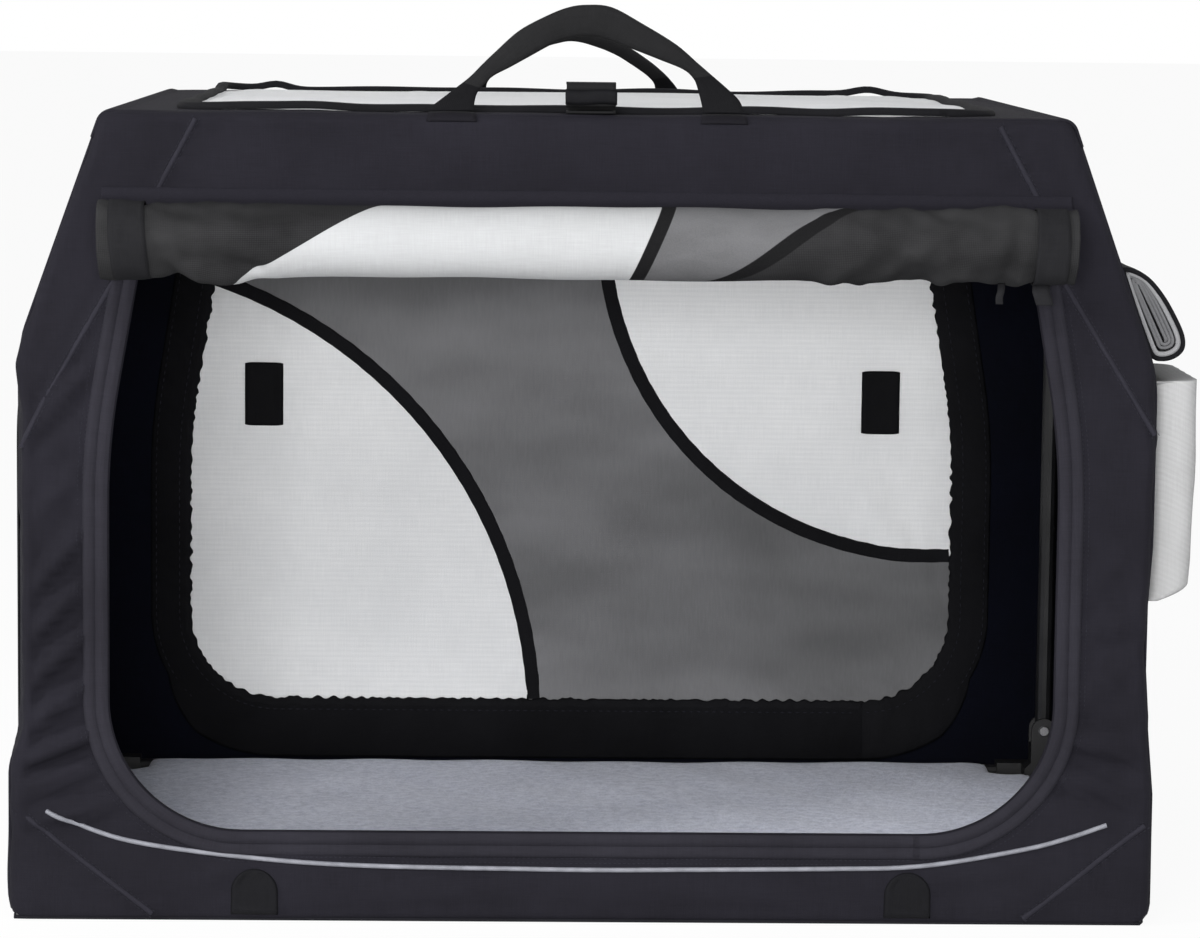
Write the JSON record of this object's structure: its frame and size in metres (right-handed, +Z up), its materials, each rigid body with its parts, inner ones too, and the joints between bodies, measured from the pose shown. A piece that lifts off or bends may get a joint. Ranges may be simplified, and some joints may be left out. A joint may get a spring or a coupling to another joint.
{
  "type": "soft folding dog crate",
  "caption": "Soft folding pet crate: fabric box on a hinged tube frame, with a rolled-up front door, fleece mat, side pocket and carry handles.",
  "frame": {"origin": "centre of the floor's underside", "axes": "+X along the long side to the end with the pocket, -Y out of the open front door, +Z up"},
  "size_m": [1.0478, 0.7445, 0.796],
  "materials": {
    "charcoal_polyester": "woven polyester, matt",
    "light_grey_polyester": "fine woven polyester, matt",
    "mid_grey_polyester": "woven polyester, matt",
    "black_binding": "ribbed binding tape",
    "black_mesh": "knitted mesh",
    "black_webbing": "woven webbing",
    "reflective_piping": "reflective piping, satin",
    "grey_fleece": "short fleece",
    "floor_cloth": "coated floor cloth",
    "black_tube_steel": "black powder coat on steel tube",
    "pin_steel": "plain rivets",
    "black_fitting_plastic": "moulded, fine grain",
    "zip_slider_metal": "black coated zip slider"
  },
  "bodies": {
    "base": {"fleece_mat": "grey_fleece", "floor_panel": "floor_cloth", "front_base_tube": "black_tube_steel", "front_patch_left": "black_binding", "front_patch_right": "black_binding", "front_reflective_piping": "reflective_piping", "front_wall": "charcoal_polyester", "front_zip_binding": "black_binding", "left_end_cover": "light_grey_polyester", "left_end_wall": "charcoal_polyester", "left_front_hinge_bracket": "black_fitting_plastic", "left_front_hinge_pin": "pin_steel", "left_rear_hinge_bracket": "black_fitting_plastic", "left_rear_hinge_pin": "pin_steel", "rear_base_tube": "black_tube_steel", "rear_door_high_field": "light_grey_polyester", "rear_door_high_piping": "black_binding", "rear_door_low_field": "light_grey_polyester", "rear_door_low_piping": "black_binding", "rear_door_middle_field": "mid_grey_polyester", "rear_tie_patch_left": "black_binding", "rear_tie_patch_right": "black_binding", "rear_wall": "charcoal_polyester", "rear_zip_binding": "black_binding", "right_end_cover_roll": "charcoal_polyester", "right_end_mesh": "black_mesh", "right_end_wall": "charcoal_polyester", "right_front_hinge_bracket": "black_fitting_plastic", "right_front_hinge_pin": "pin_steel", "right_rear_hinge_bracket": "black_fitting_plastic", "right_rear_hinge_pin": "pin_steel", "side_pocket": "light_grey_polyester"},
    "left_end": {"left_end_bow": "black_tube_steel"},
    "right_end": {"right_end_bow": "black_tube_steel"},
    "roof": {"front_door_roll": "black_mesh", "front_roll_tie_left": "black_webbing", "front_roll_tie_right": "black_webbing", "front_top_rail": "black_tube_steel", "left_front_snap_clip": "black_fitting_plastic", "left_front_top_elbow": "black_fitting_plastic", "left_rear_snap_clip": "black_fitting_plastic", "left_rear_top_elbow": "black_fitting_plastic", "left_top_tube": "black_tube_steel", "rear_top_rail": "black_tube_steel", "right_front_snap_clip": "black_fitting_plastic", "right_front_top_elbow": "black_fitting_plastic", "right_rear_snap_clip": "black_fitting_plastic", "right_rear_top_elbow": "black_fitting_plastic", "right_top_tube": "black_tube_steel", "roof_cover": "charcoal_polyester", "roof_hatch": "light_grey_polyester", "roof_strap": "black_webbing"},
    "front_handle": {"front_carry_handle": "black_webbing"},
    "rear_handle": {"rear_carry_handle": "black_webbing"},
    "rear_zip_left": {"rear_zip_slider_left": "zip_slider_metal"},
    "rear_zip_right": {"rear_zip_slider_right": "zip_slider_metal"},
    "roof_zip": {"roof_zip_slider": "zip_slider_metal"}
  },
  "joints": [
    {"name": "left_end_fold", "type": "hinge", "parent": "base", "child": "left_end", "pos_m": [-0.484, 0, 0.046], "axis": [0, 1, 0], "range_deg": [0, 84], "deforming": ["front_wall", "front_zip_binding", "front_reflective_piping", "front_patch_left", "front_patch_right", "rear_wall", "rear_zip_binding", "rear_door_low_field", "rear_door_high_field", "rear_door_middle_field", "rear_door_low_piping", "rear_door_high_piping", "rear_tie_patch_left", "rear_tie_patch_right", "left_end_wall", "left_end_cover", "right_end_wall", "right_end_mesh", "right_end_cover_roll", "side_pocket", "roof_cover", "roof_hatch"]},
    {"name": "right_end_fold", "type": "hinge", "parent": "base", "child": "right_end", "pos_m": [0.484, 0, 0.062], "axis": [0, -1, 0], "range_deg": [0, 80]},
    {"name": "roof_drop", "type": "slide", "parent": "base", "child": "roof", "axis": [0, 0, -1], "range_m": [0, 0.541]},
    {"name": "front_handle_fold", "type": "hinge", "parent": "roof", "child": "front_handle", "pos_m": [0, -0.331, 0.71], "axis": [1, 0, 0], "range_deg": [-85, 85]},
    {"name": "rear_handle_fold", "type": "hinge", "parent": "roof", "child": "rear_handle", "pos_m": [0, 0.331, 0.71], "axis": [1, 0, 0], "range_deg": [-120, 50]},
    {"name": "rear_zip_left_slide", "type": "slide", "parent": "base", "child": "rear_zip_left", "axis": [-1, 0, 0], "range_m": [0, 0.28]},
    {"name": "rear_zip_right_slide", "type": "slide", "parent": "base", "child": "rear_zip_right", "axis": [1, 0, 0], "range_m": [0, 0.28]},
    {"name": "roof_zip_slide", "type": "slide", "parent": "roof", "child": "roof_zip", "axis": [-1, 0, 0], "range_m": [0, 0.6]}
  ],
  "couplings": [
    {"joint": "right_end_fold", "follows": "left_end_fold", "ratio": 0.95},
    {"joint": "roof_drop", "follows": "left_end_fold", "m_per_rad": 0.36833}
  ]
}
